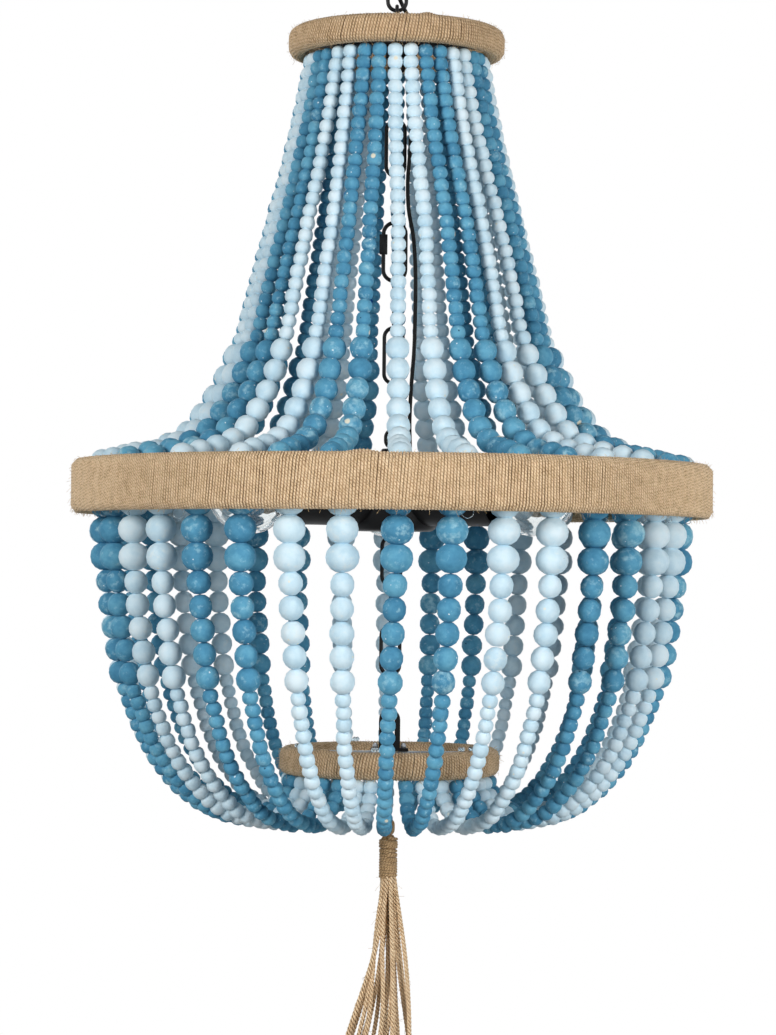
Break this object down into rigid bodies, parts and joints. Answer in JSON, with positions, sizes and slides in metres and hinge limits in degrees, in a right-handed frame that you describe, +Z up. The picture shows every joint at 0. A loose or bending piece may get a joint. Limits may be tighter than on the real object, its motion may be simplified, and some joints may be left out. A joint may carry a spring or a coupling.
{
  "type": "beaded chandelier",
  "caption": "Beaded chandelier with strands of two-tone beads between jute-bound rings, a lamp cluster inside, a chain above and a tassel below.",
  "frame": {"origin": "middle of the face of the ceiling bar that lies against the ceiling", "axes": "+Z up along the axis of the chandelier, -Y towards the front, +X to the right"},
  "size_m": [0.511, 0.511, 0.9761],
  "materials": {
    "black_metal": "satin black",
    "galvanised": "dull zinc",
    "jute": "twisted natural yarn",
    "bent_wood": "raw",
    "pale_beads": "matt pale blue paint",
    "blue_beads": "matt steel blue paint, chipped",
    "clear_glass": "clear",
    "black_plastic": "smooth"
  },
  "bodies": {
    "ceiling_fitting": {"ceiling_bar": "galvanised", "ceiling_canopy": "black_metal", "canopy_loop": "black_metal"},
    "link_1": {"chain_link_1": "black_metal"},
    "link_2": {"chain_link_2": "black_metal"},
    "chandelier": {"top_ring_frame": "black_metal", "top_ring_binding": "jute", "main_ring_hoop": "bent_wood", "main_ring_binding": "jute", "bottom_ring_frame": "galvanised", "bottom_ring_binding": "jute", "clevis": "black_metal", "inner_chain_upper": "black_metal", "inner_chain_lower": "black_metal", "quick_link": "black_metal", "lamp_cluster": "black_metal", "basket_chain": "black_metal", "lamp_cord": "black_plastic", "upper_strands_01": "pale_beads", "upper_strands_02": "blue_beads", "upper_strands_03": "pale_beads", "upper_strands_04": "blue_beads", "upper_strands_05": "pale_beads", "upper_strands_06": "blue_beads", "upper_strands_07": "pale_beads", "upper_strands_08": "blue_beads", "upper_strands_09": "pale_beads", "upper_strands_10": "blue_beads", "upper_strands_11": "pale_beads", "upper_strands_12": "blue_beads", "upper_strands_13": "pale_beads", "upper_strands_14": "blue_beads", "upper_strands_15": "pale_beads", "upper_strands_16": "blue_beads", "upper_strands_17": "pale_beads", "upper_strands_18": "blue_beads", "lower_strands_01": "blue_beads", "lower_strands_02": "pale_beads", "lower_strands_03": "blue_beads", "lower_strands_04": "pale_beads", "lower_strands_05": "blue_beads", "lower_strands_06": "pale_beads", "lower_strands_07": "blue_beads", "lower_strands_08": "pale_beads", "lower_strands_09": "blue_beads", "lower_strands_10": "pale_beads", "lower_strands_11": "blue_beads", "lower_strands_12": "pale_beads", "lower_strands_13": "blue_beads", "lower_strands_14": "pale_beads", "lower_strands_15": "blue_beads", "lower_strands_16": "pale_beads", "lower_strands_17": "blue_beads", "lower_strands_18": "pale_beads"},
    "sleeve": {"quick_link_sleeve": "black_metal"},
    "bulb_1": {"bulb_1": "clear_glass"},
    "bulb_2": {"bulb_2": "clear_glass"},
    "bulb_3": {"bulb_3": "clear_glass"},
    "hanger": {"tassel_hanger": "jute"},
    "tassel": {"tassel": "jute"}
  },
  "joints": [
    {"name": "link_1_swing", "type": "hinge", "parent": "ceiling_fitting", "child": "link_1", "pos_m": [0, 0, -0.0471], "axis": [1, 0, 0], "range_deg": [-20, 20], "deforming": ["lamp_cord"]},
    {"name": "link_2_swing", "type": "hinge", "parent": "link_1", "child": "link_2", "pos_m": [0, 0, -0.0864], "axis": [0, 1, 0], "range_deg": [-20, 20], "deforming": ["lamp_cord"]},
    {"name": "chandelier_swing", "type": "hinge", "parent": "link_2", "child": "chandelier", "pos_m": [0, 0, -0.1257], "axis": [1, 0, 0], "range_deg": [-20, 20], "deforming": ["lamp_cord"]},
    {"name": "sleeve_slide", "type": "slide", "parent": "chandelier", "child": "sleeve", "axis": [0, 0, 1], "range_m": [-0.012, 0]},
    {"name": "bulb_1_turn", "type": "hinge", "parent": "chandelier", "child": "bulb_1", "pos_m": [0.05543, -0.032, -0.5145], "axis": [0.866, -0.5, 0], "range_deg": [0, 720]},
    {"name": "bulb_2_turn", "type": "hinge", "parent": "chandelier", "child": "bulb_2", "pos_m": [0, 0.064, -0.5145], "axis": [0, 1, 0], "range_deg": [0, 720]},
    {"name": "bulb_3_turn", "type": "hinge", "parent": "chandelier", "child": "bulb_3", "pos_m": [-0.05543, -0.032, -0.5145], "axis": [-0.866, -0.5, 0], "range_deg": [0, 720]},
    {"name": "hanger_swing", "type": "hinge", "parent": "chandelier", "child": "hanger", "pos_m": [0, 0, -0.7324], "axis": [1, 0, 0], "range_deg": [-20, 20]},
    {"name": "tassel_swing", "type": "hinge", "parent": "hanger", "child": "tassel", "pos_m": [0, 0, -0.7769], "axis": [0, 1, 0], "range_deg": [-30, 30]}
  ]
}
